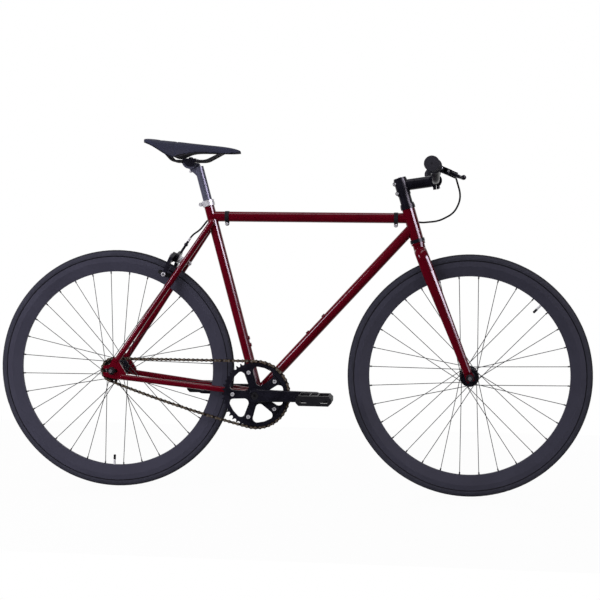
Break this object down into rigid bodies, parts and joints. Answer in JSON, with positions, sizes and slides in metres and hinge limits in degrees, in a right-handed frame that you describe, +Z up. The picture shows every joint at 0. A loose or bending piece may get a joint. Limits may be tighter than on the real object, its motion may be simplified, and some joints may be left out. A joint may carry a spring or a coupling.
{
  "type": "fixed gear bicycle",
  "caption": "Fixed gear road bicycle with a steel diamond frame, straight forks, deep rims, riser bar, rear caliper brake and direct chain drive.",
  "frame": {"origin": "on the ground, midway between the two axles, in the bicycle's middle plane", "axes": "+X points forward, +Y to the rider's left, +Z up"},
  "size_m": [1.6629, 0.5884, 0.9844],
  "materials": {
    "frame_paint": "gloss",
    "black_alloy": "satin",
    "rim_alloy": "matte",
    "silver_alloy": "satin",
    "steel": "satin",
    "black_steel": "satin",
    "chain_steel": "satin",
    "tyre_rubber": "matte",
    "tube_rubber": "matte",
    "black_plastic": "matte",
    "grip_rubber": "matte",
    "pad_rubber": "matte",
    "cable_housing": "gloss",
    "saddle_cover": "satin"
  },
  "bodies": {
    "frame": {"head_tube": "frame_paint", "top_tube": "frame_paint", "down_tube": "frame_paint", "seat_tube": "frame_paint", "bottom_bracket_shell": "frame_paint", "chainstays": "frame_paint", "seatstays": "frame_paint", "seat_collar": "silver_alloy", "seat_collar_bolt": "steel", "headset_cups": "black_alloy", "bottom_bracket_cartridge": "steel", "rear_axle": "steel", "rear_axle_nuts": "steel", "cable_clips": "black_plastic", "brake_cable": "cable_housing", "chain": "chain_steel", "brake_bolt": "steel"},
    "steering": {"fork": "frame_paint", "headset_spacers": "black_alloy", "stem": "black_alloy", "stem_faceplate": "black_alloy", "stem_top_cap": "black_alloy", "handlebar": "black_alloy", "grips": "grip_rubber", "brake_lever_bracket": "black_alloy", "front_axle": "steel", "front_axle_nuts": "steel"},
    "brake_lever": {"brake_lever": "black_alloy"},
    "front_wheel": {"front_tyre": "tyre_rubber", "front_inner_tube": "tube_rubber", "front_rim": "rim_alloy", "front_spokes": "steel", "front_nipples": "black_steel", "front_hub": "black_alloy"},
    "rear_wheel": {"rear_tyre": "tyre_rubber", "rear_inner_tube": "tube_rubber", "rear_rim": "rim_alloy", "rear_spokes": "steel", "rear_nipples": "black_steel", "rear_hub": "black_alloy", "rear_cog": "chain_steel", "cog_lockring": "chain_steel"},
    "crankset": {"crank_arm_right": "black_alloy", "crank_arm_left": "black_alloy", "chainring": "black_alloy", "chainring_bolts": "steel", "bottom_bracket_spindle": "steel", "crank_bolts": "steel", "pedal_spindles": "steel"},
    "pedal_right": {"pedal_right": "black_plastic"},
    "pedal_left": {"pedal_left": "black_plastic"},
    "seatpost": {"seatpost": "silver_alloy"},
    "saddle": {"saddle_clamp": "black_alloy", "saddle_rails": "black_steel", "saddle_shell": "black_plastic", "saddle_pad": "saddle_cover"},
    "caliper_left": {"caliper_arm_left": "black_alloy", "brake_pad_left": "pad_rubber"},
    "caliper_right": {"caliper_arm_right": "black_alloy", "brake_pad_right": "pad_rubber"}
  },
  "joints": [
    {"name": "steering", "type": "hinge", "parent": "frame", "child": "steering", "pos_m": [0.46295, 0, 0.32617], "axis": [-0.289, 0, 0.9573], "range_deg": [-60, 60], "deforming": ["brake_cable"]},
    {"name": "front_wheel_spin", "type": "hinge", "parent": "steering", "child": "front_wheel", "pos_m": [0.4955, 0, 0.336], "axis": [0, 1, 0], "continuous": true},
    {"name": "rear_wheel_spin", "type": "hinge", "parent": "frame", "child": "rear_wheel", "pos_m": [-0.4955, 0, 0.336], "axis": [0, 1, 0], "continuous": true, "deforming": ["chain"]},
    {"name": "crank_spin", "type": "hinge", "parent": "frame", "child": "crankset", "pos_m": [-0.09182, 0, 0.276], "axis": [0, 1, 0], "continuous": true, "deforming": ["chain"]},
    {"name": "pedal_right_spin", "type": "hinge", "parent": "crankset", "child": "pedal_right", "pos_m": [0.07818, 0, 0.276], "axis": [0, 1, 0], "continuous": true},
    {"name": "pedal_left_spin", "type": "hinge", "parent": "crankset", "child": "pedal_left", "pos_m": [-0.26182, 0, 0.276], "axis": [0, 1, 0], "continuous": true},
    {"name": "brake_lever_pull", "type": "hinge", "parent": "steering", "child": "brake_lever", "pos_m": [0.42584, -0.1664, 0.88864], "axis": [-0.3907, 0, -0.9205], "range_deg": [0, 20], "stiffness_Nm_per_rad": 1.5, "springref_deg": -5.73},
    {"name": "caliper_left_close", "type": "hinge", "parent": "frame", "child": "caliper_left", "pos_m": [-0.32095, 0, 0.64938], "axis": [-0.9205, 0, 0.3907], "range_deg": [0, 2]},
    {"name": "caliper_right_close", "type": "hinge", "parent": "frame", "child": "caliper_right", "pos_m": [-0.32095, 0, 0.64938], "axis": [0.9205, 0, -0.3907], "range_deg": [0, 2]},
    {"name": "seatpost_slide", "type": "slide", "parent": "frame", "child": "seatpost", "axis": [-0.2639, 0, 0.9646], "range_m": [-0.06, 0.04]},
    {"name": "saddle_tilt", "type": "hinge", "parent": "seatpost", "child": "saddle", "pos_m": [-0.2874, 0, 0.92385], "axis": [0, 1, 0], "range_deg": [-8, 8]}
  ],
  "couplings": [
    {"joint": "crank_spin", "follows": "rear_wheel_spin", "ratio": 0.34783},
    {"joint": "caliper_left_close", "follows": "brake_lever_pull", "ratio": 0.1},
    {"joint": "caliper_right_close", "follows": "brake_lever_pull", "ratio": 0.1}
  ]
}
